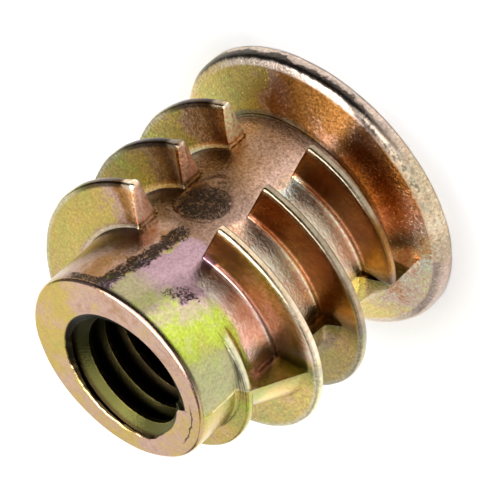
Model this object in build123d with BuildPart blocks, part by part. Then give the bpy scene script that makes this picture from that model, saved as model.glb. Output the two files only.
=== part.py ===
from build123d import *
from math import cos, radians, sin, tan
import os

# Threaded insert for wood, one zinc die casting. It stands on its flange with the nose up, the
# origin is the centre of the flange face, lengths are in millimetres and angles in degrees,
# counted anticlockwise from +X as seen from the nose.

# Core and flange
insert_length = 13.0
core_diameter = 8.9
flange_diameter = 13.6
rim_height = 0.55
seat_height = 1.5
rim_edge_fillet = 0.5
nose_fillet = 0.5

# Section of the screw rib: steep on the nose side, and sunk in the core at its root
thread_diameter = 13.2
crest_width = 0.28
nose_flank_lean = 0.2
flange_flank_lean = 0.52
root_sink = 0.4

# Course of the rib: it climbs from its foot, where the two halves of the mould part, to a level
# last stretch by the nose. Its height grows over the foot turn, and fades over the nose turn until
# it is under the core
thread_pitch = 2.78
parting_angle = 212
foot_height = 2.66
level_height = 10.58
rib_turn = 1133
foot_turn = 53
nose_turn = 190
foot_height_share = 0.68
nose_height_share = -0.08
sections_a_turn = 12

# Channel down one side, where the rib is left out beside the gate. Its walls open outwards, by the
# same draft on each side of the way that the mould is pulled
channel_angle = 302.5
channel_half_angle = 19
channel_pull_angle = 295
channel_draft = 14.75

# Ramps on the nose side of the rib, fading clockwise from the parting of the mould. One row for
# each turn counted from the flange, with the reach towards the nose at the toe and the shoulder as
# shares of the pitch, the toe, shoulder and top as shares of the thread depth, and what is left of
# them at each step. The ramp on turn 0 stands on the flange
ramp_turns = (2, 1, 0)
ramp_reach_shares = ((0.76, 0.34), (0.61, 0.09), (0.02, -0.05))
ramp_height_shares = ((0.19, 0.47, 0.81), (0.23, 0.26, 0.77), (0.19, 0.4, 0.63))
ramp_fade_shares = ((1, 0.8, 0.5, 0.15), (1, 0.8, 0.5, 0.15), (1, 0.42, 0.14, 0.03))
ramp_step_angle = 18

# Drive socket in the flange, and the bore, which is drilled and tapped a little off the axis
socket_flats = 6.0
socket_depth = 5.0
bore_shift = 0.45
bore_shift_angle = 180
bore_diameter = 5.0
mouth_diameter = 6.4
mouth_cone_angle = 120
cut_overrun = 1.0

core_radius = core_diameter / 2
flange_radius = flange_diameter / 2
thread_radius = thread_diameter / 2
thread_depth = thread_radius - core_radius
root_radius = core_radius - root_sink
bore_x = bore_shift * cos(radians(bore_shift_angle))
bore_y = bore_shift * sin(radians(bore_shift_angle))


def crest_height(turned):
    """Height of the middle of the crest, turned so many degrees past the rib's foot."""
    return min(level_height, foot_height + thread_pitch * turned / 360)


def height_share(turned):
    """Share of the full thread depth that the rib has there."""
    foot_share = foot_height_share + (1 - foot_height_share) * turned / foot_turn
    nose_share = nose_height_share + (rib_turn - turned) / nose_turn
    return min(1, foot_share, nose_share)


with BuildPart() as insert_body:
    # Screw rib, lofted through radial sections that climb around the axis
    section_count = round(rib_turn / 360 * sections_a_turn)
    for section in range(section_count + 1):
        turned = rib_turn * section / section_count
        share = height_share(turned)
        sunk_share = share + root_sink / thread_depth
        crest_radius = core_radius + thread_depth * share
        crest_bottom = crest_height(turned) - crest_width / 2
        crest_top = crest_height(turned) + crest_width / 2
        with BuildSketch(Plane.XZ.rotated((0, 0, parting_angle + turned))):
            with BuildLine():
                Polyline(
                    (root_radius, crest_bottom - flange_flank_lean * sunk_share),
                    (crest_radius, crest_bottom),
                    (crest_radius, crest_top),
                    (root_radius, crest_top + nose_flank_lean * sunk_share),
                    close=True,
                )
            make_face()
    loft()

    # Channel with drafted walls, cut through the rib before the core closes its floor
    mouth_reach = thread_radius + cut_overrun
    walls = []
    for side in (-1, 1):
        floor_angle = radians(channel_angle + side * channel_half_angle - channel_pull_angle)
        floor_reach = core_radius * cos(floor_angle)
        floor_offset = core_radius * sin(floor_angle)
        slope = side * tan(radians(channel_draft))
        inner_corner = (0, floor_offset - slope * floor_reach)
        mouth_corner = (mouth_reach, floor_offset + slope * (mouth_reach - floor_reach))
        walls.append((inner_corner, mouth_corner))
    (right_inner, right_mouth), (left_inner, left_mouth) = walls
    with BuildSketch(Plane.XY.rotated((0, 0, channel_pull_angle))):
        with BuildLine():
            Polyline(right_inner, right_mouth, left_mouth, left_inner, close=True)
        make_face()
    extrude(amount=insert_length, mode=Mode.SUBTRACT)

    # Ramps, lofted away from the parting face and shrinking as they go
    ramp_rows = zip(ramp_turns, ramp_reach_shares, ramp_height_shares, ramp_fade_shares)
    for turn, reaches, heights, fades in ramp_rows:
        for step, fade in enumerate(fades):
            top_height = crest_height(360 * turn - ramp_step_angle * step)
            base_height = top_height - crest_width / 2 if turn else rim_height
            root_height = top_height + crest_width / 2 + nose_flank_lean
            toe_reach, shoulder_reach = [thread_pitch * share * fade for share in reaches]
            toe, shoulder, top = [thread_depth * share * fade for share in heights]
            with BuildSketch(Plane.XZ.rotated((0, 0, parting_angle - ramp_step_angle * step))):
                with BuildLine():
                    Polyline(
                        (root_radius, root_height + toe_reach),
                        (core_radius + toe, root_height + toe_reach),
                        (core_radius + shoulder, root_height + shoulder_reach),
                        (core_radius + top, top_height),
                        (core_radius + top, base_height),
                        (root_radius, base_height),
                        close=True,
                    )
                make_face()
        loft()

    # Core and flange, one turned form
    nose_corner = (core_radius, insert_length)
    seat_corner = (core_radius, seat_height)
    rim_corner = (flange_radius, rim_height)
    face_corner = (flange_radius, 0)
    nose_centre = (0, insert_length)
    with BuildSketch(Plane.XZ) as half_section:
        with BuildLine():
            Polyline((0, 0), face_corner, rim_corner, seat_corner, nose_corner, nose_centre, close=True)
        make_face()
        fillet(half_section.vertices().sort_by_distance(nose_corner)[0], nose_fillet)
        fillet(half_section.vertices().sort_by_distance(rim_corner)[0], rim_edge_fillet)
    revolve(axis=Axis.Z)

    # Hex drive socket in the flange face, and the tapped bore from the nose with its countersink
    with BuildSketch(Plane.XY):
        RegularPolygon(socket_flats / 2, 6, major_radius=False)
    extrude(amount=socket_depth, mode=Mode.SUBTRACT)
    with Locations(Plane((bore_x, bore_y, insert_length))):
        CounterSinkHole(
            radius=bore_diameter / 2,
            counter_sink_radius=mouth_diameter / 2,
            depth=insert_length,
            counter_sink_angle=mouth_cone_angle,
        )

insert_body.part.label = "insert_body"
os.makedirs("parts", exist_ok=True)
export_step(insert_body.part, "parts/insert_body.step")
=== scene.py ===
import math
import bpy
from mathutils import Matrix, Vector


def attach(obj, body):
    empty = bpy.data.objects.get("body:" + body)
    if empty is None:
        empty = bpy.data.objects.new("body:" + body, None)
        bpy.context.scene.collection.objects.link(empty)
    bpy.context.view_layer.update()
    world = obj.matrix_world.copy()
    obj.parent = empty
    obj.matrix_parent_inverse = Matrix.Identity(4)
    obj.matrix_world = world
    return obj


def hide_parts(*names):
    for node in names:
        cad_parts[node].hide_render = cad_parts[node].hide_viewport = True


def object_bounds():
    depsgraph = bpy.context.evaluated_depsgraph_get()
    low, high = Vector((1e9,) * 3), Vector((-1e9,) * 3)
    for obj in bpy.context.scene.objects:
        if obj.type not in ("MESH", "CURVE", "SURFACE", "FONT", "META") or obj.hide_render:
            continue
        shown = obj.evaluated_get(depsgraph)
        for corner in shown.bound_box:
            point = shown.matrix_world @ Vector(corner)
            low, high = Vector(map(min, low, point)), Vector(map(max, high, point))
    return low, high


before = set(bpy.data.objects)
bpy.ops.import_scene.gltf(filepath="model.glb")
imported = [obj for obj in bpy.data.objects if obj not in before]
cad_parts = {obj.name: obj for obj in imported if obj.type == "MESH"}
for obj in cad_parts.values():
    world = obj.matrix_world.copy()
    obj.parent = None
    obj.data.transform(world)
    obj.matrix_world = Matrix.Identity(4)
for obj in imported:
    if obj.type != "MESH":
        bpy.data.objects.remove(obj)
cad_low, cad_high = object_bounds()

from types import SimpleNamespace
from typing import NamedTuple

import bpy
import numpy as np
from bpy.props import FloatProperty, FloatVectorProperty, PointerProperty
from bpy.types import Operator, Panel, PropertyGroup
from mathutils import Matrix, Vector, noise

bl_info = {
    "name": "Threaded insert",
    "version": (1, 0, 0),
    "blender": (4, 5, 0),
    "location": "3D View > Sidebar > Insert",
    "description": "Builds a die-cast threaded insert with a yellow chromate on its CAD frame",
    "category": "Object",
}

MM = 0.001


def length_property(name, description, millimetres):
    return FloatProperty(
        name=name, description=description, default=millimetres * MM, unit="LENGTH", precision=5
    )


def angle_property(name, description, degrees):
    return FloatProperty(
        name=name, description=description, default=math.radians(degrees), subtype="ANGLE"
    )


def colour_property(name, description, colour):
    return FloatVectorProperty(
        name=name, description=description, default=colour, subtype="COLOR", size=3, min=0, max=1
    )


def share_property(name, description, share):
    return FloatProperty(
        name=name, description=description, default=share, subtype="FACTOR", min=0, max=1
    )


def power_property(name, description, watts):
    return FloatProperty(name=name, description=description, default=watts, unit="POWER")


class CastingSizes(PropertyGroup):
    """Sizes of the casting, in its CAD frame."""

    core_radius: length_property("Core radius", "Radius of the core between the ribs", 4.45)
    rim_height: length_property("Rim height", "Height of the corner between rim and cone", 0.55)
    seat_height: length_property("Seat height", "Height where the flange cone meets the core", 1.5)
    rim_round: length_property("Rim rounding", "Rounding of the rim's upper edge", 0.5)
    face_round: length_property("Face rounding", "Rounding of the rim's lower edge", 0.08)
    seat_round: length_property("Seat rounding", "Hollow between flange cone and core", 0.12)
    nose_round: length_property("Nose edge", "Height that the nose's rounded edge takes up", 0.5)
    thread_depth: length_property("Rib depth", "Height of the screw rib above the core", 2.15)
    crest_width: length_property("Crest width", "Width of the rib's crest", 0.36)
    crest_round: length_property("Crest rounding", "Rounding of the rib's crest edges", 0.16)
    root_round: length_property("Root rounding", "Hollow rounding at the rib's root", 0.15)
    nose_lean: length_property("Nose flank lean", "Lean of the flank on the nose side", 0.16)
    flange_lean: length_property("Flange flank lean", "Lean of the flank on the flange side", 0.48)
    pitch: length_property("Rib pitch", "Climb of the rib in one turn", 2.78)
    foot_height: length_property("Foot height", "Height of the crest at the rib's foot", 2.66)
    level_height: length_property("Level height", "Height of the rib's level last stretch", 10.58)
    parting_angle: angle_property("Parting angle", "Angle at which the mould's halves part", 212)
    right_root: angle_property("Right wall root", "Channel's right wall, at the core", 283.5)
    right_crest: angle_property("Right wall crest", "Channel's right wall, at the crest", 282.5)
    left_root: angle_property("Left wall root", "Channel's left wall, at the core", 321.5)
    left_crest: angle_property("Left wall crest", "Channel's left wall, at the crest", 317.8)
    socket_flats: length_property("Socket flats", "Width of the hex socket across flats", 6.0)
    socket_depth: length_property("Socket depth", "Depth of the hex socket", 5.0)
    bore_shift: length_property("Bore shift", "How far the bore is off the axis, towards -X", 0.45)
    bore_minor: length_property("Bore crest radius", "Radius of the machine thread's crests", 2.5)
    bore_major: length_property("Bore root radius", "Radius of the machine thread's roots", 3.06)
    bore_pitch: length_property("Bore pitch", "Pitch of the machine thread", 1.0)
    mouth_radius: length_property("Mouth radius", "Radius of the countersink at the nose", 3.2)


class ChromateFinish(PropertyGroup):
    """Colours of the chromate film and of the painted light and shade, and grain of the casting."""

    brown: colour_property("Brown", "Film at its thinnest", (0.34, 0.13, 0.02))
    copper: colour_property("Copper", "Film on the flanks", (0.56, 0.265, 0.075))
    pink: colour_property("Pink", "Film in the root bands", (0.8, 0.52, 0.4))
    gold: colour_property("Gold", "Film on the flange", (0.78, 0.55, 0.145))
    olive: colour_property("Olive", "Film on the lobes", (0.62, 0.55, 0.14))
    lime: colour_property("Lime", "Film on the collar", (0.58, 0.7, 0.08))
    mauve: colour_property("Mauve", "Film at its thickest", (0.66, 0.42, 0.46))
    # Pale is mostly a painted highlight along the crests, the roots and the ridges and on the rim,
    # and also a pale haze of the film on the collar
    pale: colour_property("Pale", "Film rubbed thin along the crests", (0.85, 0.8, 0.6))
    # Painted highlight of pale pink, on the rim and in the glint on the collar
    pink_highlight: colour_property("Bloom", "Pale film round the rim", (0.93, 0.78, 0.68))
    # The bore's colours carry painted light and shade: the first turn lit, the deeper turns and the
    # grooves in painted shade
    thread: colour_property("Thread", "First turn of the machine thread", (0.19, 0.18, 0.05))
    tapped: colour_property("Tapped", "Turns deeper in the bore", (0.1, 0.07, 0.03))
    groove_shade: colour_property("Oil", "Oily film in the bore's grooves", (0.11, 0.075, 0.028))
    soot: colour_property("Soot", "Dark gate mark and flow mark", (0.022, 0.017, 0.012))
    roughness: share_property("Roughness", "Roughness of the film", 0.2)
    grain: share_property("Grain", "Strength of the casting's grain", 0.42)


class StageSettings(PropertyGroup):
    """Floor, light and camera."""

    floor_colour: colour_property("Floor", "Colour of the floor", (0.9, 0.9, 0.9))
    room_colour: colour_property("Room", "Colour of the room round the stage", (0.07, 0.07, 0.07))
    softbox_power: power_property("Softbox", "Power of the light overhead", 1.9)
    panel_power: power_property("Back panel", "Power of the panel behind", 0.38)
    side_power: power_property("Side panel", "Power of the panel beside", 0.3)
    left_power: power_property("Left panel", "Power of the panel at the back left", 0.16)
    lens: FloatProperty(
        name="Lens", description="Focal length on a 36 mm sensor", default=360, unit="CAMERA"
    )


# Lengths are in millimetres, and angles in degrees anticlockwise from +X as seen from the nose

# Course of the rib: its whole way round, and the stretches over which it rises at its foot and
# fades by the nose, with its height at both ends as a share of the full depth
RIB_TURN = 1133
FOOT_TURN = 53
NOSE_TURN = 190
FOOT_SHARE = 0.68
NOSE_SHARE = -0.08

# Section of the rib. Under FLAT_SHARE of the depth it keeps its outline and is only pressed flat,
# and past the rib's end that flat trace climbs on. The root's rounding spreads as the rib fades
FLAT_SHARE = 0.15
END_CLIMB = 0.95
ROOT_SPREAD = 1.6
ROOT_PAD = 1.3
CREST_ROUND_SHARE = 0.9
LEAST_ROUND = 0.02

# Ramps beside the rib where the mould parts, by turn from the flange: reach towards the nose at toe
# and shoulder as shares of the pitch, height of toe, shoulder and top as shares of the depth, and
# what is left of them at each step away from the parting
RAMP_REACHES = {2: (0.76, 0.34), 1: (0.61, 0.09), 0: (0.02, -0.05)}
RAMP_HEIGHTS = {2: (0.19, 0.47, 0.81), 1: (0.23, 0.26, 0.77), 0: (0.19, 0.4, 0.63)}
RAMP_FADES = {2: (1, 0.8, 0.5, 0.15, 0), 1: (1, 0.8, 0.5, 0.15, 0), 0: (1, 0.42, 0.14, 0.03, 0)}
RAMP_STEP = 18
RAMP_RUNOUT = 0.12
RAMP_SUNK_SHARE = 0.9
RAMP_LOWEST = 0.3

# Machine thread: shares of the pitch where its profile turns, rows of points to a turn, how far the
# thread is turned, and how far its rows stay from the socket's floor and from the nose
THREAD_MARKS = (0, 0.125, 0.46, 0.665, 1)
THREAD_ROWS = (0, 0.0625, 0.125, 0.2, 0.29, 0.38, 0.46, 0.5625, 0.665, 0.75, 0.84, 0.92)
THREAD_SHIFT = 0.5
THREAD_GAPS = (0.03, 0.05)
MOUTH_SLOPE = math.radians(30)
MOUTH_ROUND = 0.2
MOUTH_UNDERCUT = 0.6

# Burr that the tap left at the mouth, as angles round the bore and how far it stands in, and the
# torn edge, as angles, how far it wanders and how often
BURR_ANGLES = (140, 150, 157, 170, 194, 208, 213, 216)
BURR_REACH = (0, 0.12, 0.28, 0.4, 0.45, 0.46, 0.36, 0)
TORN_ANGLES = (20, 45, 135, 150)
TORN_REACH = (0, 0.07, 0.07, 0)
TORN_RATE = 0.37

# Gate mark in the channel, and the flow mark that runs from it to the nose. The marks are rough and
# sunk, with a lip round the gate
GATE_ANGLE = 305.5
GATE_HEIGHT = 6.9
GATE_REACH = 1.2
GATE_EDGE = ((0.85, 0.95, 1.05, 1.2), (1, 0.2, 0, 0))
GATE_LIP = ((0.85, 1, 1.08, 1.25), (0, 1, 0.8, 0))
GATE_SUNK, GATE_GRIT, LIP_HEIGHT = 0.05, 0.06, 0.035
FLOW_HEIGHTS = (8.3, 10.2, 11.8, 12.4, 12.8)
FLOW_ANGLES = (301.5, 304, 308.3, 311, 315)
FLOW_HALF = 0.3
FLOW_EDGE = ((0.5, 1.3), (1, 0))
FLOW_RISE = ((8.3, 8.8, 12.8), (0, 1, 1))
FLOW_SUNK, FLOW_GRIT = 0.04, 0.05
GRIT_RATE, RAGGED_RATE, RAGGED_REACH = 5, 1.7, 0.25

# Waviness of the cast skin
RIPPLE = 0.018
RIPPLE_RATE = 0.9

# Columns of points round the axis. The seam is where the first and the last meet. Those at the
# parting are listed by degrees from it: flash on the ramps and ridge on the collar before it, inset
# of the rib's foot and ridge after it. Those at the channel's walls are listed by degrees from the
# wall, with the rib's inset at the right wall and at the left one, which has a bead
SEAM_ANGLE = 90
COLUMN_STEP = 2
COLUMN_GAP = 3
LEAN_REACH = 8.5
BEFORE_PARTING = ((-2, 0, 0), (-1, 0, 0), (-0.7, 0, 0), (-0.35, 0.06, 0.03), (-0.05, 0.06, 0.055))
AFTER_PARTING = ((0.05, 0.08, 0.055), (0.4, 0.02, 0.03), (1, 0, 0), (2, 0, 0))
WALL_STEPS = (
    (2.6, 0, -0.012), (1.8, 0, -0.04), (1.04, 0, -0.04),
    (0.52, 0.0134, -0.01), (0.14, 0.05, 0.04), (0, 0.1, 0.1),
)
WALL_INSET = 0.1
WALL_GAP = 0.12
FLOOR_GAP = 0.4

# Rows of points along a column. A rib has its own slot in each turn, flat where it doesn't stand
SLOTS = 4
CORNER_SHARE = 0.48
RIB_POINTS = (5, (0, 5, 0, 5, 0))
FLANGE_POINTS = (6, (1, 0, 9, 0))
NOSE_POINTS = (9, (0, 0))
LOW_BAND_ROWS, BAND_ROWS, COLLAR_ROWS = 6, 12, 12
CHANNEL_BAND_DETAIL, CHANNEL_COLLAR_DETAIL = 3, 2
RING_STEPS, MOUTH_STEPS, FACE_STEPS = 6, 3, 4
FACE_BAND = 1.2
SEAT_RUN = 0.25
NOSE_STEP = 0.05
SOCKET_ROWS = (3.4, 1.8)
SOCKET_EDGE = 0.12
BARE_RISE, BARE_LOW, BARE_NOSE_SHARE = 0.01, 0.3, 0.4
UPRIGHT_LOW = 0.1

# Keys by which the points of neighbouring columns are matched
FLANGE_KEY = -10000
SLOT_KEYS = 1000
COLLAR_KEY = 10000
RING_KEY = 20000
THREAD_KEY = 30000
SOCKET_KEY = 40000
CLOSING_KEY, DONE_KEY = 1e9, 2e9


def plain_sizes(sizes):
    """Sizes as plain numbers, with the length and the flange of the CAD box."""
    plain = {"length": cad_high.z / MM, "flange_radius": cad_high.x / MM}
    for entry in sizes.bl_rna.properties:
        if entry.identifier not in ("rna_type", "name"):
            value = getattr(sizes, entry.identifier)
            angle = entry.unit == "ROTATION"
            plain[entry.identifier] = math.degrees(value) if angle else value / MM
    return SimpleNamespace(**plain)


def rounded_path(corners, radii, arc_points, run_points):
    """Points along a bent line with its corners rounded, and so many points added on each run."""
    corners = np.asarray(corners, float)
    points = [corners[0]]

    def run_to(end, count):
        for left in range(count, 0, -1):
            points.append(points[-1] + (end - points[-1]) / (left + 1))

    bends = zip(corners, corners[1:], corners[2:], radii, run_points)
    for before, corner, after, radius, count in bends:
        back, ahead = before - corner, after - corner
        back_length, ahead_length = np.linalg.norm(back), np.linalg.norm(ahead)
        back, ahead = back / back_length, ahead / ahead_length
        turn = math.pi - math.acos(np.clip(back @ ahead, -1, 1))
        room = CORNER_SHARE * min(back_length, ahead_length)
        reach = min(radius * math.tan(turn / 2), room)
        fitted = reach / math.tan(turn / 2)
        middle = back + ahead
        centre = corner + middle / np.linalg.norm(middle) * math.hypot(fitted, reach)
        start = corner + back * reach - centre
        end = corner + ahead * reach - centre
        across = end - start * math.cos(turn)
        across = across / np.linalg.norm(across) * fitted
        bent = turn * np.linspace(0, 1, arc_points)
        arc = [centre + start * math.cos(part) + across * math.sin(part) for part in bent]
        run_to(arc[0], count)
        points.extend(arc)
    run_to(corners[-1], run_points[-1])
    points.append(corners[-1])
    return np.array(points)


class Column(NamedTuple):
    """A section through the casting at one angle, and what stands there."""

    angle: float
    standing: int = 1
    lean: float = 0.0
    inset: float = 0.0
    ramp: bool = True
    flash: float = 0.0
    ridge: float = 0.0
    foot_inset: float = 0.0


class Casting:
    """The casting as columns of points, each a closed section at one angle round the axis."""

    def __init__(self, size):
        self.size = size

    def crest_height(self, turned):
        size = self.size
        return min(size.level_height, size.foot_height + size.pitch * turned / 360)

    def height_share(self, turned):
        foot = FOOT_SHARE + (1 - FOOT_SHARE) * turned / FOOT_TURN
        nose = NOSE_SHARE + (RIB_TURN - turned) / NOSE_TURN
        return max(0, min(1, foot, nose))

    def rib_section(self, share, inset, standing):
        """Section of the rib as (height over the core, height along the axis from its crest)."""
        size = self.size
        depth = size.thread_depth * max(share, FLAT_SHARE) - inset
        half = size.crest_width / 2 - inset
        low = -half - size.flange_lean * depth / size.thread_depth
        high = half + size.nose_lean * depth / size.thread_depth
        root = size.root_round * (1 + ROOT_SPREAD * (1 - share))
        pad = ROOT_PAD * root
        crest = max(LEAST_ROUND, min(size.crest_round, CREST_ROUND_SHARE * half))
        corners = [
            (0, low - pad), (0, low), (depth, -half), (depth, half), (0, high), (0, high + pad)
        ]
        path = rounded_path(corners, [root, crest, crest, root], *RIB_POINTS)
        path[:, 0] *= standing * min(1, share / FLAT_SHARE)
        return path

    def rib(self, column, slot):
        """The rib in one slot of a column, as radii and heights."""
        turned = column.angle - self.size.parting_angle + 360 * slot
        crest = self.crest_height(max(turned, 0))
        if turned > RIB_TURN:
            crest += END_CLIMB * (turned - RIB_TURN) / NOSE_TURN
        standing, inset = column.standing, column.inset
        if slot == 0:
            standing *= column.angle > self.size.parting_angle
            inset = max(inset, column.foot_inset)
        section = self.rib_section(self.height_share(max(turned, 0)), inset, standing)
        return section + (self.size.core_radius, crest)

    def ramp_radius(self, turn, angle, heights):
        """Radius of the ramp beside that turn of the rib, at each height."""
        size = self.size
        behind = size.parting_angle - angle
        fades = RAMP_FADES[turn]
        fade = np.interp(behind / RAMP_STEP, range(len(fades)), fades)
        if behind < 0 or fade <= 0:
            return np.zeros(len(heights))
        top_height = size.foot_height + size.pitch * (turn - behind / 360)
        root_height = top_height + size.crest_width / 2 + size.nose_lean
        toe_reach, shoulder_reach = [size.pitch * reach * fade for reach in RAMP_REACHES[turn]]
        toe, shoulder, top = [
            size.core_radius + size.thread_depth * height * fade for height in RAMP_HEIGHTS[turn]
        ]
        toe_height = root_height + toe_reach
        end = toe_height + RAMP_RUNOUT
        marks = [top_height, root_height + shoulder_reach, toe_height, end]
        values = [top, shoulder, toe, RAMP_SUNK_SHARE * size.core_radius]
        lowest = top_height - size.crest_width / 2 if turn else RAMP_LOWEST
        radius = np.interp(heights, marks, values)
        return np.where((heights >= lowest) & (heights <= end), radius, 0)

    def relief(self, angle, height):
        """How far the rough gate mark and flow mark stand out of the core or sink into it."""
        arc = math.radians(self.size.core_radius)
        round_way = angle * arc
        grit = noise.noise(Vector((round_way * GRIT_RATE, height * GRIT_RATE, 0.5)))
        ragged = noise.noise(Vector((round_way * RAGGED_RATE, height * RAGGED_RATE, 7.5)))
        ragged *= RAGGED_REACH
        reach = math.hypot((angle - GATE_ANGLE) * arc, height - GATE_HEIGHT) / GATE_REACH + ragged
        gate, lip = np.interp(reach, *GATE_EDGE), np.interp(reach, *GATE_LIP)
        away = abs(angle - np.interp(height, FLOW_HEIGHTS, FLOW_ANGLES)) * arc / FLOW_HALF
        flow = np.interp(height, *FLOW_RISE) * np.interp(away + 2 * ragged, *FLOW_EDGE)
        sunk = gate * (GATE_GRIT * grit - GATE_SUNK) + flow * (FLOW_GRIT * grit - FLOW_SUNK)
        return sunk + LIP_HEIGHT * lip

    def smooth_side(self, column):
        """Flange, ribs, collar and nose of a column before ramps and marks, as points and keys."""
        size = self.size
        core, length = size.core_radius, size.length
        flange = rounded_path(
            [
                (size.flange_radius - FACE_BAND, 0),
                (size.flange_radius, 0),
                (size.flange_radius, size.rim_height),
                (core, size.seat_height),
                (core, size.seat_height + SEAT_RUN),
            ],
            [size.face_round, size.rim_round, size.seat_round],
            *FLANGE_POINTS,
        )
        parts = [flange]
        keys = [FLANGE_KEY + np.arange(len(flange))]
        last = flange[-1, 1]
        for slot in range(SLOTS):
            rib = self.rib(column, slot)
            count = BAND_ROWS if slot else LOW_BAND_ROWS
            count *= 1 if column.standing else CHANNEL_BAND_DETAIL
            shares = np.arange(1, count + 1) / (count + 1)
            band = last + (rib[0, 1] - last) * shares
            parts += [np.column_stack([np.full(count, core), band]), rib]
            keys += [SLOT_KEYS * slot + shares, SLOT_KEYS * slot + 1 + np.arange(len(rib))]
            last = rib[-1, 1]
        count = COLLAR_ROWS * (1 if column.standing else CHANNEL_COLLAR_DETAIL)
        shares = np.arange(1, count + 1) / count
        collar = last + (length - size.nose_round - last) * shares
        nose = rounded_path(
            [(core, collar[-1]), (core, length), (core - size.nose_round - NOSE_STEP, length)],
            [size.nose_round],
            *NOSE_POINTS,
        )[2:]
        parts += [np.column_stack([np.full(count, core), collar]), nose]
        keys += [COLLAR_KEY + shares, COLLAR_KEY + 1 + np.arange(len(nose))]
        return np.vstack(parts), np.concatenate(keys)

    def outer_section(self, column):
        """Outer side of a column from the flange face to the nose, as points and keys."""
        size = self.size
        core = size.core_radius
        points, keys = self.smooth_side(column)
        radii, heights = points[:, 0], points[:, 1]
        if column.ramp:
            for turn in RAMP_REACHES:
                ramp = self.ramp_radius(turn, column.angle, heights)
                ramp = np.where(ramp > core, ramp + column.flash, ramp)
                radii = np.maximum(radii, ramp)
        bare = (radii < core + BARE_RISE) & (heights > size.seat_height + BARE_LOW)
        bare &= heights < size.length - BARE_NOSE_SHARE * size.nose_round
        radii[bare] += [self.relief(column.angle, height) for height in heights[bare]]
        radii[bare & (heights > size.level_height)] += column.ridge
        rise = np.clip((radii - core) / size.thread_depth, 0, 1)
        upright = heights < size.seat_height + UPRIGHT_LOW
        turns = np.radians(column.angle + np.where(upright, 0, rise * column.lean))
        cosines, sines = np.cos(turns), np.sin(turns)
        skin = np.column_stack([radii * cosines, radii * sines, heights])
        ripple = [noise.noise(Vector(point) * RIPPLE_RATE) - 1 for point in skin]
        radii = radii + RIPPLE * np.array(ripple) * (heights > 0)
        return np.column_stack([radii * cosines, radii * sines, heights]), keys

    def mouth_radius(self, angle):
        """Radius of the mouth's edge, drawn in by the burr and torn beside it."""
        burr = np.interp(angle % 360, BURR_ANGLES, BURR_REACH)
        torn = np.interp(angle % 360, TORN_ANGLES, TORN_REACH)
        torn *= noise.noise(Vector((angle * TORN_RATE, 0.5, 3.5)))
        return self.size.mouth_radius - burr + torn

    def bore_radius(self, angle, heights):
        """Radius of the tapped bore about its own axis."""
        size = self.size
        phase = np.mod(heights / size.bore_pitch - angle / 360 + THREAD_SHIFT, 1)
        deep, shallow = size.bore_major, size.bore_minor
        radius = np.interp(phase, THREAD_MARKS, (deep, deep, shallow, shallow, deep))
        depth = size.length - heights
        mouth = self.mouth_radius(angle)
        cone = mouth - depth / math.tan(MOUTH_SLOPE)
        return np.maximum(np.minimum(radius, mouth + MOUTH_UNDERCUT * depth), cone)

    def inner_section(self, column):
        """Inner side from the nose ring down the bore and out along the flange face, with keys."""
        size = self.size
        turn = math.radians(column.angle)
        ray = np.array([math.cos(turn), math.sin(turn)])
        bore = np.array([-size.bore_shift, 0.0])
        mouth = self.mouth_radius(column.angle)
        bend_reach = MOUTH_ROUND * math.tan(MOUTH_SLOPE / 2)

        ring_outer = ray * (size.core_radius - size.nose_round - NOSE_STEP)
        ring_inner = bore + ray * (mouth + bend_reach)
        ring = [
            (*(ring_outer + (ring_inner - ring_outer) * step / RING_STEPS), size.length)
            for step in range(1, RING_STEPS)
        ]
        for bend in MOUTH_SLOPE * np.arange(MOUTH_STEPS + 1) / MOUTH_STEPS:
            radius = mouth + bend_reach - MOUTH_ROUND * math.sin(bend)
            height = size.length - MOUTH_ROUND * (1 - math.cos(bend))
            ring.append((*(bore + ray * radius), height))

        turns = np.arange(math.ceil(size.length / size.bore_pitch) + 2)
        starts = np.add.outer(turns, THREAD_ROWS).ravel()
        heights = (starts + column.angle / 360 - THREAD_SHIFT) * size.bore_pitch
        floor_gap, nose_gap = THREAD_GAPS
        seen = (heights > size.socket_depth + floor_gap) & (heights < size.length - nose_gap)
        rows = np.flatnonzero(seen)[::-1]
        radii = self.bore_radius(column.angle, heights[rows])
        thread = [
            (*(bore + ray * radius), height) for radius, height in zip(radii, heights[rows])
        ]

        floor_radius = self.bore_radius(column.angle, np.array([size.socket_depth]))[0]
        floor_edge = bore + ray * floor_radius
        hexagon = size.socket_flats / 2 / math.cos(math.radians(column.angle % 60 - 30))
        socket = [
            (*floor_edge, size.socket_depth),
            (*((floor_edge + ray * hexagon) / 2), size.socket_depth),
        ]
        for height in (size.socket_depth, *SOCKET_ROWS, SOCKET_EDGE):
            socket.append((*(ray * hexagon), height))
        inner_edge = hexagon + SOCKET_EDGE
        face = size.flange_radius - FACE_BAND - inner_edge
        for step in range(FACE_STEPS):
            socket.append((*(ray * (inner_edge + face * step / FACE_STEPS)), 0))

        keys = [
            RING_KEY + np.arange(len(ring)),
            THREAD_KEY - rows,
            SOCKET_KEY + np.arange(len(socket)),
        ]
        return np.array(ring + thread + socket), np.concatenate(keys)

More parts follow.
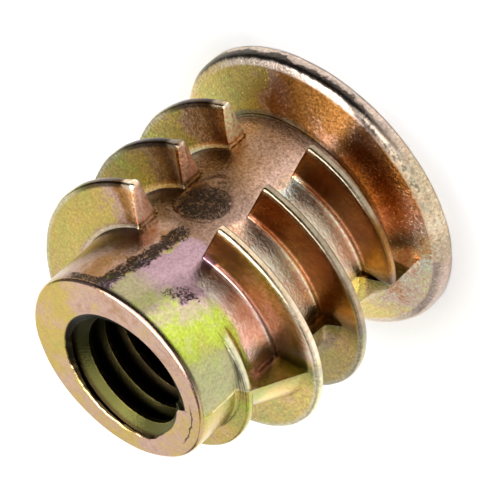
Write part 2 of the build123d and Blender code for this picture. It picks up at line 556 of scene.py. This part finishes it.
    def columns(self):
        """Every column round the axis, closest together at the parting and the channel's walls."""
        size = self.size
        parting, right, left = size.parting_angle, size.right_root, size.left_root
        right_lean, left_lean = size.right_crest - right, size.left_crest - left
        made = []
        for angle in range(SEAM_ANGLE, SEAM_ANGLE + 360, COLUMN_STEP):
            if abs(angle - parting) < COLUMN_GAP or right - COLUMN_GAP < angle < left + COLUMN_GAP:
                continue
            lean = 0
            if right - LEAN_REACH < angle < right:
                lean = right_lean * (1 - (right - angle) / LEAN_REACH)
            if left < angle < left + LEAN_REACH:
                lean = left_lean * (1 - (angle - left) / LEAN_REACH)
            made.append(Column(angle, lean=lean))
        for away, flash, ridge in BEFORE_PARTING:
            made.append(Column(parting + away, flash=flash, ridge=ridge))
        for away, inset, ridge in AFTER_PARTING:
            made.append(Column(parting + away, ramp=False, foot_inset=inset, ridge=ridge))
        for away, inset, bead in WALL_STEPS:
            share = 1 - away / LEAN_REACH
            made.append(Column(right - away, lean=right_lean * share, inset=inset))
            made.append(Column(left + away, lean=left_lean * share, inset=bead))
        for angle in (right + WALL_GAP, left - WALL_GAP):
            made.append(Column(angle, standing=0, inset=WALL_INSET))
        for angle in np.arange(math.ceil(right + FLOOR_GAP), left - FLOOR_GAP):
            made.append(Column(float(angle), standing=0))
        return sorted(made)

    def build(self):
        """Vertices in metres and faces of the whole casting."""
        vertices, loops = [], []
        for column in self.columns():
            outer, outer_keys = self.outer_section(column)
            inner, inner_keys = self.inner_section(column)
            loops.append((len(vertices), np.concatenate([outer_keys, inner_keys])))
            vertices.extend(np.vstack([outer, inner]) * MM)
        faces = []
        for (first, keys), (after_first, after_keys) in zip(loops, loops[1:]):
            self.stitch(faces, first, keys, after_first, after_keys)
        # Past the seam the rib is one slot lower and the machine thread one turn
        seam_keys = loops[0][1].copy()
        seam_keys[(seam_keys >= 0) & (seam_keys < SLOTS * SLOT_KEYS)] -= SLOT_KEYS
        half_way = (THREAD_KEY + np.array([RING_KEY, SOCKET_KEY])) / 2
        seam_keys[(seam_keys > half_way[0]) & (seam_keys < half_way[1])] += len(THREAD_ROWS)
        self.stitch(faces, *loops[-1], loops[0][0], seam_keys)
        return np.array(vertices), faces

    @staticmethod
    def stitch(faces, first, keys, after_first, after_keys):
        """Faces between two neighbouring columns, matched by the points' keys."""
        count, after_count = len(keys), len(after_keys)
        keys = [*keys, CLOSING_KEY, DONE_KEY]
        after_keys = [*after_keys, CLOSING_KEY, DONE_KEY]
        here, there = 0, 0
        while here < count or there < after_count:
            a, b = first + here % count, after_first + there % after_count
            a_next, b_next = first + (here + 1) % count, after_first + (there + 1) % after_count
            if keys[here + 1] == after_keys[there + 1]:
                faces.append((a, b, b_next, a_next))
                here, there = here + 1, there + 1
            elif keys[here + 1] < after_keys[there + 1]:
                faces.append((a, b, a_next))
                here += 1
            else:
                faces.append((a, b, b_next))
                there += 1


def operator(operation, reflected=False):
    """A method that joins a field and another value by a Math node."""

    def join(self, other):
        return self.maths(operation, *((other, self) if reflected else (self, other)))

    return join


class Field:
    """A value in the shader. Sums, products and the like add Math nodes."""

    def __init__(self, shader, socket):
        self.shader = shader
        self.socket = socket

    def maths(self, operation, *inputs):
        sockets = dict(enumerate(inputs))
        return self.shader.node("ShaderNodeMath", {"operation": operation}, sockets)

    __add__, __radd__ = operator("ADD"), operator("ADD", reflected=True)
    __sub__, __rsub__ = operator("SUBTRACT"), operator("SUBTRACT", reflected=True)
    __mul__, __rmul__ = operator("MULTIPLY"), operator("MULTIPLY", reflected=True)
    __truediv__, __pow__ = operator("DIVIDE"), operator("POWER")

    def __abs__(self):
        return self.maths("ABSOLUTE", self)

    def fraction(self):
        return self.maths("FRACT", self)


class Shader:
    """Node tree of one material."""

    def __init__(self, name):
        self.material = bpy.data.materials.new(name)
        self.material.use_nodes = True
        self.tree = self.material.node_tree
        self.tree.nodes.clear()

    def node(self, kind, settings, sockets, out=0):
        """Adds a node: its settings first, then the values or links of its sockets."""
        made = self.tree.nodes.new(kind)
        for name, value in settings.items():
            if name == "stops":
                self.set_stops(made.color_ramp, value)
            else:
                setattr(made, name, value)
        for name, value in sockets.items():
            socket = made.inputs[name]
            if isinstance(value, Field):
                self.tree.links.new(value.socket, socket)
            elif socket.type == "RGBA":
                socket.default_value = (*value, 1)
            else:
                socket.default_value = value
        return Field(self, made.outputs[out]) if made.outputs else None

    @staticmethod
    def set_stops(ramp, stops):
        while len(ramp.elements) < len(stops):
            ramp.elements.new(0.5)
        for element, (place, colour) in zip(ramp.elements, stops):
            element.position = place
            element.color = (*colour, 1)

    def step(self, value, low, high):
        """Rises smoothly from 0 at low to 1 at high."""
        sockets = {"Value": value, "From Min": low, "From Max": high}
        return self.node("ShaderNodeMapRange", {"interpolation_type": "SMOOTHSTEP"}, sockets)

    def window(self, value, low, full, end, gone):
        """Rises from 0 at low to 1 at full, and falls back to 0 between end and gone."""
        return self.step(value, low, full) * (1 - self.step(value, end, gone))

    def noise(self, place, scale, detail, roughness):
        sockets = {"Vector": place, "Scale": scale, "Detail": detail, "Roughness": roughness}
        return self.node("ShaderNodeTexNoise", {}, sockets)

    def mix(self, share, first, second, blend="MIX"):
        settings = {"data_type": "RGBA", "blend_type": blend}
        return self.node("ShaderNodeMix", settings, {0: share, 6: first, 7: second}, out=2)

    def shade(self, colour, tone):
        """Colour made lighter or darker by a tone."""
        grey = self.node("ShaderNodeCombineColor", {}, {0: tone, 1: tone, 2: tone})
        return self.mix(1.0, colour, grey, "MULTIPLY")

    def turn(self, x, y, start):
        """Share of a turn about the axis, counted from the start angle."""
        angle = y.maths("ARCTAN2", y, x)
        return ((angle - math.radians(start)) / math.tau + 2).fraction()

    def largest(self, first, *others):
        for other in others:
            first = first.maths("MAXIMUM", first, other)
        return first

    def coat(self, along, stops, drift, tints):
        """Film along its stops, whose thickness and tone are a ramp's red and green. The tone is
        painted light and shade.
        """
        stops = [(place, (thickness, tone / TONE_SCALE, 0)) for place, thickness, tone in stops]
        film = self.node("ShaderNodeValToRGB", {"stops": stops}, {0: along})
        thickness, tone = [
            self.node("ShaderNodeSeparateColor", {}, {0: film}, out=part) for part in range(2)
        ]
        stops = list(zip(TINT_STOPS, tints))
        tint = self.node("ShaderNodeValToRGB", {"stops": stops}, {0: thickness + drift})
        return self.shade(tint, tone * TONE_SCALE)

    def lookup(self, value, stops):
        """Reads a number off a line through stops of (place, number)."""
        stops = [(place, (number,) * 3) for place, number in stops]
        return self.node("ShaderNodeValToRGB", {"stops": stops}, {0: value})

    def finish(self, surface):
        self.node("ShaderNodeOutputMaterial", {}, {"Surface": surface})
        return self.material


# Film round the casting, as stops of (share of a turn past the parting, thickness, depth of tone).
# The depth of tone is painted light and shade by angle round the axis, such as the painted shade in
# the channel
FILM_BANDS = (
    (0, 0.46, 0.6), (0.03, 0.36, 1.3), (0.12, 0.33, 1.8), (0.19, 0.31, 1.35),
    (0.205, 0.34, 0.45), (0.25, 0.25, 0.28), (0.29, 0.23, 0.3), (0.31, 0.2, 0.45),
    (0.36, 0.3, 0.8), (0.5, 0.45, 1), (1, 0.5, 0.8),
)
FILM_FLANKS = (
    (0, 0.56, 0.4), (0.008, 0.5, 0.45), (0.03, 0.28, 1.7), (0.05, 0.26, 1.3),
    (0.075, 0.24, 0.95), (0.193, 0.19, 1), (0.197, 0.24, 1.9), (0.21, 0.26, 1.9),
    (0.285, 0.3, 1.7), (0.302, 0.32, 1.7), (0.309, 0.26, 1.1), (0.318, 0.24, 0.75),
    (0.332, 0.46, 0.82), (0.38, 0.54, 0.92), (0.45, 0.58, 1.05), (0.85, 0.58, 1),
    (0.93, 0.48, 1.1), (0.965, 0.42, 1.2), (0.985, 0.52, 0.85), (0.997, 0.58, 0.6),
    (1, 0.56, 0.4),
)
FILM_COLLAR = (
    (0, 0.62, 0.7), (0.05, 0.65, 0.62), (0.08, 0.7, 0.7), (0.136, 0.8, 0.95),
    (0.172, 0.8, 0.95), (0.186, 0.88, 0.55), (0.206, 0.93, 0.55), (0.22, 1.05, 0.72),
    (0.261, 1.05, 0.6), (0.2612, 0.3, 0.5), (0.31, 0.22, 0.5), (0.36, 0.35, 0.55),
    (0.5, 0.45, 1), (0.9, 0.5, 0.9), (1, 0.58, 0.75),
)
FILM_FLANGE = (
    (0, 0.35, 1.9), (0.025, 0.33, 1.7), (0.06, 0.27, 1.2), (0.12, 0.2, 1.2),
    (0.2, 0.19, 0.52), (0.25, 0.19, 0.5), (0.29, 0.19, 0.5), (0.31, 0.45, 0.5),
    (0.37, 0.52, 0.75), (0.42, 0.55, 1.1), (0.5, 0.58, 1.2), (0.8, 0.5, 1.2),
    (0.94, 0.33, 1.5), (0.98, 0.34, 1.6), (1, 0.35, 1.9),
)
FILM_RING = (
    (0, 0.4, 1), (0.12, 0.37, 1), (0.2, 0.34, 1.05), (0.3, 0.36, 1.05),
    (0.37, 0.45, 1.1), (0.5, 0.48, 1.1), (0.7, 0.4, 1), (1, 0.4, 1),
)

# A ramp holds tones up to TONE_SCALE. The tints follow each other as the film gets thicker
TONE_SCALE = 2.0
TINT_NAMES = ("brown", "copper", "pink", "gold", "olive", "lime", "mauve")
TINT_STOPS = (0.05, 0.2, 0.35, 0.48, 0.62, 0.78, 0.95)

# Painted shade under the lobes, as tone lost by share of the length, and painted light and shade of
# the bore, by share of a turn
LOBE_SHADE = ((0.2, 0.3), (0.33, 0.33), (0.46, 0.54), (0.53, 0.5), (0.63, 0))
BORE_SHADE = (
    (0, 0.2), (0.15, 0.2), (0.27, 0.3), (0.34, 0.6), (0.4, 0.95), (0.48, 1.1), (0.56, 0.5), (1, 0.2)
)

# Noises from the coarsest to the finest: scale by the millimetre, detail and roughness
NOISES = ((0.3, 2.0, 0.5), (0.8, 4.0, 0.6), (3.0, 3.0, 0.6), (8.5, 4.0, 0.7), (19.0, 2.0, 0.6))
NOISE_MIDDLE = 0.5

# The collar's film leans about this height. Then the top of the painted dark reflection on the rim
# and its step, the crack's radius about the bore, and the depth of the grain
COLLAR_LEAN, COLLAR_MIDDLE = 0.012, 11.4
BAND_TOP, BAND_STEP = 0.6, 0.12
CRACK_RADIUS = 3.48
BUMP_DEPTH = 0.05


def chromate_material(look, size):
    """Zinc casting with an iridescent yellow chromate film, laid zone by zone, with light and shade
    painted into its colour.
    """
    shader = Shader("yellow_chromate_zinc")
    step, window, largest, mix = shader.step, shader.window, shader.largest, shader.mix
    core, top, parting = size.core_radius, size.length, size.parting_angle

    def tint(name, depth=1):
        return tuple(depth * part for part in getattr(look, name))

    metres = shader.node("ShaderNodeTexCoord", {}, {}, out="Object")
    scaled = {0: metres, "Scale": 1 / MM}
    place = shader.node("ShaderNodeVectorMath", {"operation": "SCALE"}, scaled)
    x, y, z = [shader.node("ShaderNodeSeparateXYZ", {}, {0: place}, out=axis) for axis in range(3)]
    bore_x = x + size.bore_shift
    radius = (x * x + y * y) ** 0.5
    bore_radius = (bore_x * bore_x + y * y) ** 0.5
    over_core, from_top = radius - core, z - top
    share = shader.turn(x, y, parting)
    bore_share = shader.turn(bore_x, y, 0)
    cloud, blotch, fleck, grain, grit = [
        shader.noise(place, *settings) - NOISE_MIDDLE for settings in NOISES
    ]

    # Zones that several steps share, and how rough the casting is
    wander = share + 0.05 * blotch + 0.015 * fleck
    slant = wander - COLLAR_LEAN * (z - COLLAR_MIDDLE)
    off_core = step(over_core, 0.15, 0.4)
    above_seat = step(z, 1.6, 1.9)
    above_ribs = step(z, 9.7, 10.1)
    channel_side = step(share, 0.165, 0.185)
    lobe_side = step(share, 0.22, 0.28)
    on_nose = step(from_top, -0.2, -0.08)
    outermost = step(radius, 6.28, 6.42)
    on_rim = outermost * (1 - step(z, 0.72, 0.85))
    on_flange = 1 - step(z, 1.4, 1.6)
    on_rib = off_core * above_seat * (1 - above_ribs)
    low_ribs = 1 - step(z, 6.6, 8.2)
    flank_foot = step(z, 1.8, 2.2)
    between = (1 - off_core) * (1 - channel_side) * above_seat
    smooth_flank = off_core * (1 - lobe_side) * flank_foot
    specks = step(grain + fleck, -0.05, 0.15)
    rough = 1 - largest(
        0.5 * step(z, 7.5, 9.5), 0.2 * between, 0.5 * smooth_flank, 0.8 * on_nose, 0.25 * on_flange
    )

    # Film of bands, collar, flanks, flange and nose ring, whose thickness drifts
    calm = 0.45 * blotch + 0.25 * cloud + 0.12 * fleck
    drift = calm + 0.3 * grain * rough
    lobe_brown = 0.24 * lobe_side * (1 - step(wander, 0.335, 0.385))
    low_shift = low_ribs * (0.13 * (1 - lobe_side) + lobe_brown)
    flank_shift = (0.8 + 0.4 * lobe_side) * drift - low_shift
    collar = step(z + 0.8 * blotch + 1.4 * channel_side, 9.8, 10.2)
    lilac = step(z, 8.2, 9.0) * (1 - channel_side) * (1 - step(share, 0.4, 0.5))
    tints = [tint(name) for name in TINT_NAMES]
    colour = shader.coat(wander, FILM_BANDS, 0.35 * drift, tints)
    colour = mix(0.45 * lilac, colour, tint("mauve", 1.3))
    for mask, along, stops, shift in (
        (collar, slant, FILM_COLLAR, 1.2 * calm + 0.1 * grain * rough),
        (off_core * (1 - above_ribs), share, FILM_FLANKS, flank_shift),
        (1 - step(z, 1.5, 1.65), wander, FILM_FLANGE, drift),
        (on_nose, wander, FILM_RING, drift),
    ):
        colour = mix(mask, colour, shader.coat(along, stops, shift, tints))

    # Grey and hazy film on the collar, and a glint below it
    greyed = step(z + 0.8 * fleck + blotch, 10.9, 12.2) * (1 - on_nose)
    greyed *= step(slant, 0.175, 0.195) * (1 - step(share, 0.255, 0.262))
    colour = mix(0.5 * greyed, colour, tint("lime", 0.5))
    hazy = step(z, 10.4, 10.9) * (1 - on_nose)
    hazy *= step(share, 0.0, 0.01) * (1 - step(slant, 0.065, 0.1))
    colour = mix(0.55 * hazy, colour, tint("pale", 0.46))
    glint = window(z + 0.6 * fleck, 9.0, 9.4, 9.9, 10.3) * (1 - off_core)
    glint *= window(wander, 0.12, 0.15, 0.165, 0.185)
    colour = mix(0.85 * glint, colour, tint("pink_highlight"))

    # Crests painted pale as a highlight, or dark on the lobes as painted shade, and painted light
    # at the low end of the channel's floor
    crest = outermost * step(z, 1.7, 1.9)
    lobe_crest_shade = crest * window(share, 0.308, 0.316, 0.36, 0.4)
    colour = mix((0.55 + 0.5 * fleck) * (crest - lobe_crest_shade), colour, tint("pale"))
    floor_low_light = (1 - off_core) * channel_side * window(z, 1.9, 2.2, 4.4, 5.8)
    tone = (1 - 0.8 * lobe_crest_shade) * (1 + 0.8 * floor_low_light)

    # Rim painted pearly pale and pink as a highlight, with a painted dark reflection as a band and
    # specks, and the rim a little darker either side of the parting
    rim_highlight = mix(step(wander, 0.1, 0.17), tint("pale"), tint("pink_highlight"))
    olive_rim = step(wander, 0.35, 0.4) * (1 - step(share, 0.6, 0.7))
    colour = mix((0.7 + 0.6 * fleck) * on_rim * (1 - 0.8 * olive_rim), colour, rim_highlight)
    rim_face = step(radius, 6.34, 6.44)
    band_top = BAND_TOP + BAND_STEP * (1 - step(share, 0.17, 0.21))
    rim_dark_reflection = rim_face * step(z + 0.6 * fleck + 0.5 * blotch, 0.18, 0.34)
    rim_dark_reflection *= 1 - step(z + 0.15 * fleck + 0.15 * blotch - band_top, -0.05, 0.03)
    rim_dark_reflection *= step(wander, 0.13, 0.2) * (1 - step(share, 0.4, 0.47))
    rim_specks = rim_face * specks * window(z, 0.5, 0.58, 0.68, 0.76)
    rim_specks *= window(share, 0.05, 0.09, 0.2, 0.24)
    matt_rim = on_rim * (1 - step(share, 0.08, 0.2))
    low_rim = on_rim * largest(1 - step(share, 0.015, 0.05), step(share, 0.86, 0.92))
    tone *= (1 - 0.88 * rim_dark_reflection) * (1 - 0.75 * rim_specks) * (1 - 0.35 * low_rim)

    # Painted shade as dark lines beside the crests, by height from the nearest crest
    climb = (z - size.foot_height) / size.pitch - share
    beside = ((climb + 4.5).fraction() - 0.5) * size.pitch
    line = window(beside, -0.27, -0.2, -0.17, -0.12) * step(radius, 6.2, 6.4)
    tone *= 1 - 0.9 * line * step(share, 0.06, 0.14) * on_rib

    # Left wall of the channel, matt and pink and lit with painted light low down, and the painted
    # shade under the ribs
    wall_lean = (size.left_root - size.left_crest) / 360
    wall_place = (size.left_root - parting) / 360
    wall_off = abs(share + wall_lean / size.thread_depth * over_core - wall_place)
    wall = (1 - step(wall_off, 0.001, 0.003)) * on_rib
    colour = mix(0.55 * wall, colour, tint("pink"))
    lobe_shade = shader.lookup(z / top, LOBE_SHADE) * (1.25 - 0.35 * step(share, 0.325, 0.39))
    under = lobe_side * lobe_shade + 0.45 * low_ribs * (1 - lobe_side)
    tone *= (1 - on_rib * under * (1 - wall)) * (1 + 0.9 * wall * (1 - step(z, 4.6, 6.2)))

    # Lines at the roots: a painted highlight along the lobes and the wall, painted shade along the
    # other ribs
    root = window(over_core, 0.02, 0.06, 0.14, 0.22)
    root_highlight = root * step(beside, 0.25, 0.3) * lobe_side * (1 - step(share, 0.5, 0.6))
    wall_foot_highlight = root * (1 - step(wall_off, 0.003, 0.006)) * step(z, 1.8, 2.0)
    colour = mix(largest(0.45 * root_highlight, 0.6 * wall_foot_highlight), colour, tint("pale"))
    rib_root_shade = root * step(beside, 0.2, 0.3) * (1 - channel_side) * flank_foot
    tone *= 1 - 0.6 * rib_root_shade * (1 - above_ribs)

    # Painted highlights on the rib's fading end on the collar and on the parting line beside it,
    # and painted shade in the crease over the flange
    fading_highlight = step(over_core, 0.02, 0.08) * window(z, 10.3, 10.4, 10.75, 10.9)
    fading_highlight *= 1 - step(share, 0.085, 0.11)
    seam = step(abs(share - 0.5), 0.4975, 0.499) * window(z, 10.2, 10.4, 12.3, 12.5)
    colour = mix(0.6 * largest(fading_highlight, seam), colour, tint("pale"))
    crease_shade = window(z, 1.36, 1.44, 1.6, 1.72) * (1 - step(over_core, 0.12, 0.3))
    tone *= 1 - 0.6 * crease_shade

    # Tapped bore: painted shade in its grooves and with depth, painted light where its first turn
    # comes up, and painted highlights as gold specks on its crests
    in_bore = (1 - step(bore_radius, 3.3, 3.35)) * step(z, 4.9, 5.1)
    in_bore *= 1 - step(from_top, -0.05, -0.02)
    thread = mix(1 - step(z, 10.6, 12.6), tint("thread"), tint("tapped"))
    thread = mix(step(bore_radius + 0.1 * fleck, 2.84, 2.98), thread, tint("groove_shade"))
    # Painted highlight: gold specks on the thread's crests
    torn = (1 - step(bore_radius + 0.12 * fleck, 2.51, 2.56)) * specks
    thread = mix(0.4 * torn, thread, tint("gold"))
    thread = shader.shade(thread, shader.lookup(bore_share, BORE_SHADE))

    # Crack beside the burr at the mouth, and a painted dark reflection round the nose's edge
    crack_off = abs(bore_radius - CRACK_RADIUS + 0.35 * blotch + 0.2 * fleck)
    crack = (1 - step(crack_off, 0.015, 0.05)) * on_nose
    crack *= window(bore_share, 0.49, 0.52, 0.6, 0.63)
    nose_dark_reflection = window(from_top, -0.3, -0.2, -0.06, -0.02) * window(share, 0.03, 0.08, 0.26, 0.3)
    tone *= (1 - 0.85 * crack) * (1 - 0.7 * nose_dark_reflection)

    # Soot on the gate mark, the flow mark, the nose's edge over it and a streak beside it
    arc = math.tau * core
    gate_x = (share - (GATE_ANGLE - parting) / 360) * (arc / GATE_REACH)
    gate_y = (z - GATE_HEIGHT) / GATE_REACH
    gate_off = (gate_x * gate_x + gate_y * gate_y) ** 0.5
    gate = 1 - step(gate_off + 0.7 * blotch + 0.8 * fleck, 0.74, 1.06)
    flow_foot, flow_span = FLOW_HEIGHTS[0], FLOW_HEIGHTS[-1] - FLOW_HEIGHTS[0]
    flow_stops = [
        ((height - flow_foot) / flow_span, (angle - parting) / 360)
        for height, angle in zip(FLOW_HEIGHTS, FLOW_ANGLES)
    ]
    flow_off = abs((share - shader.lookup((z - flow_foot) / flow_span, flow_stops)) * arc)
    flow = 1 - step(flow_off + 0.6 * blotch + 0.9 * fleck, 0.14, 0.56)
    flow *= step(z + 0.8 * fleck, 8.1, 8.7) * (1 - step(from_top, -0.22, -0.12))
    edge = window(from_top, -0.62, -0.42, -0.22, -0.12) * window(share, 0.24, 0.27, 0.33, 0.37)
    streak = window(slant + 0.03 * fleck, 0.174, 0.183, 0.19, 0.205)
    streak *= window(z, 10.2, 10.7, 11.4, 12.0)
    soot = largest(gate, 1.35 * flow, edge, 0.75 * streak) * (1 - off_core)
    sooty = step(soot * (1 + 4 * grain + 2.6 * grit + 1.6 * fleck), 0.55, 1.0)

    # Grain of the casting: pits darkened as painted shade, a painted sparkle, and roughness, least
    # on the collar and the nose
    coarse = 0.8 * grit + grain
    pits, sparkle = step(-1 * coarse, 0.1, 0.3), step(coarse, 0.12, 0.32)
    tone *= 1 + 2.2 * grain * rough + 0.35 * fleck
    tone *= (1 - 0.4 * pits * rough) * (1 + 0.35 * sparkle * rough)
    colour = shader.shade(colour, tone)
    colour = mix(in_bore, colour, thread)
    colour = mix(0.9 * sooty, colour, tint("soot"))
    height = (grain + 0.4 * grit) * rough + 0.3 * fleck + 1.5 * soot * grain
    relief = {"Strength": look.grain, "Distance": BUMP_DEPTH * MM, "Height": height}
    bump = shader.node("ShaderNodeBump", {}, relief)
    roughness = look.roughness + 0.25 * grain * rough + 0.1 * blotch + 0.3 * sooty
    roughness += 0.12 * in_bore + 0.35 * wall + 0.35 * matt_rim + 0.04 * on_flange
    surface = shader.node(
        "ShaderNodeBsdfPrincipled",
        {},
        {"Base Color": colour, "Metallic": 1.0, "Roughness": roughness, "Normal": bump},
    )
    return shader.finish(surface)


FLOOR_CLOUD = (20.0, 2.0, 0.5)
FLOOR_SHADE = 0.98
FLOOR_ROUGHNESS = 0.9


def floor_material(settings):
    """Pale matt floor."""
    shader = Shader("pale_floor")
    place = shader.node("ShaderNodeTexCoord", {}, {}, out="Object")
    cloud = shader.noise(place, *FLOOR_CLOUD)
    base = tuple(settings.floor_colour)
    darker = tuple(FLOOR_SHADE * value for value in base)
    surface = shader.node(
        "ShaderNodeBsdfPrincipled",
        {},
        {"Base Color": shader.mix(cloud, base, darker), "Roughness": FLOOR_ROUGHNESS},
    )
    return shader.finish(surface)


# Creases sharper than this stay sharp in the shading
SHARP_ANGLE = 38


class INSERT_OT_casting(Operator):
    """Builds the casting as one closed mesh in place of its CAD solid"""

    bl_idname = "insert.casting"
    bl_label = "Casting"

    def execute(self, context):
        size = plain_sizes(context.scene.insert_sizes)
        vertices, faces = Casting(size).build()
        mesh = bpy.data.meshes.new("insert_casting")
        mesh.from_pydata(vertices.tolist(), [], faces)
        mesh.update()
        mesh.materials.append(chromate_material(context.scene.insert_finish, size))
        mesh.shade_smooth()
        mesh.set_sharp_from_angle(angle=math.radians(SHARP_ANGLE))
        piece = bpy.data.objects.new("insert_casting", mesh)
        context.scene.collection.objects.link(piece)
        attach(piece, "root")
        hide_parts("insert_body")
        return {"FINISHED"}


# Stage in metres: half the floor's width, the lights as name, place, width and setting of their
# power, the point they aim at, and the camera as fitted to the photo
FLOOR_HALF = 1.0
LIGHTS = (
    ("softbox", (0.03, -0.02, 0.34), 0.36, "softbox_power"),
    ("back_panel", (0.04, 0.3, 0.17), 0.42, "panel_power"),
    ("side_panel", (-0.28, -0.14, 0.1), 0.36, "side_power"),
    ("left_panel", (-0.26, 0.15, 0.1), 0.26, "left_power"),
)
LIGHT_AIM = (0, 0, 0.006)
CAMERA_PLACE = (-0.00005, -0.17459, 0.10824)
CAMERA_RIGHT = (-0.67468, -0.37650, -0.63486)
CAMERA_UP = (0.73811, -0.34414, -0.58030)
CAMERA_BACK = (0, -0.86012, 0.51009)
CAMERA_REACH = (0.01, 10)
SENSOR_WIDTH = 36


class INSERT_OT_stage(Operator):
    """Sets the insert on a pale floor in soft studio light, with the camera"""

    bl_idname = "insert.stage"
    bl_label = "Stage"

    def execute(self, context):
        settings = context.scene.insert_stage
        half = FLOOR_HALF
        corners = [(-half, -half, 0), (half, -half, 0), (half, half, 0), (-half, half, 0)]
        mesh = bpy.data.meshes.new("floor")
        mesh.from_pydata(corners, [], [(0, 1, 2, 3)])
        mesh.materials.append(floor_material(settings))
        floor = bpy.data.objects.new("floor", mesh)
        context.scene.collection.objects.link(floor)
        for name, place, width, power in LIGHTS:
            self.light(context, name, place, width, getattr(settings, power))
        world = bpy.data.worlds.new("studio")
        world.use_nodes = True
        background = world.node_tree.nodes["Background"]
        background.inputs["Color"].default_value = (*settings.room_colour, 1)
        background.inputs["Strength"].default_value = 1.0
        context.scene.world = world
        context.scene.view_settings.view_transform = "Standard"
        self.camera(context, settings)
        return {"FINISHED"}

    def light(self, context, name, place, width, power):
        lamp = bpy.data.lights.new(name, "AREA")
        lamp.energy = power
        lamp.size = width
        made = bpy.data.objects.new(name, lamp)
        aim = Vector(LIGHT_AIM) - Vector(place)
        turned = aim.to_track_quat("-Z", "Y").to_matrix().to_4x4()
        made.matrix_world = Matrix.Translation(place) @ turned
        context.scene.collection.objects.link(made)

    def camera(self, context, settings):
        lens = bpy.data.cameras.new("camera")
        lens.lens = settings.lens
        lens.sensor_width = SENSOR_WIDTH
        lens.clip_start, lens.clip_end = CAMERA_REACH
        made = bpy.data.objects.new("camera", lens)
        turned = Matrix((CAMERA_RIGHT, CAMERA_UP, CAMERA_BACK)).transposed().to_4x4()
        made.matrix_world = Matrix.Translation(CAMERA_PLACE) @ turned
        context.scene.collection.objects.link(made)
        context.scene.camera = made


class INSERT_PT_sidebar(Panel):
    """Lists the sizes, the finish and the pieces"""

    bl_label = "Threaded insert"
    bl_space_type = "VIEW_3D"
    bl_region_type = "UI"
    bl_category = "Insert"

    def draw(self, context):
        scene = context.scene
        for group in (scene.insert_sizes, scene.insert_finish, scene.insert_stage):
            box = self.layout.box()
            for name in group.bl_rna.properties.keys():
                if name not in ("rna_type", "name"):
                    box.prop(group, name)
        self.layout.operator("insert.casting")
        self.layout.operator("insert.stage")


CLASSES = (
    CastingSizes,
    ChromateFinish,
    StageSettings,
    INSERT_OT_casting,
    INSERT_OT_stage,
    INSERT_PT_sidebar,
)


def register():
    for made in CLASSES:
        bpy.utils.register_class(made)
    bpy.types.Scene.insert_sizes = PointerProperty(type=CastingSizes)
    bpy.types.Scene.insert_finish = PointerProperty(type=ChromateFinish)
    bpy.types.Scene.insert_stage = PointerProperty(type=StageSettings)


def unregister():
    for name in ("insert_sizes", "insert_finish", "insert_stage"):
        delattr(bpy.types.Scene, name)
    for made in reversed(CLASSES):
        bpy.utils.unregister_class(made)


def main():
    register()
    bpy.ops.insert.casting()
    bpy.ops.insert.stage()


if __name__ == "__main__":
    main()
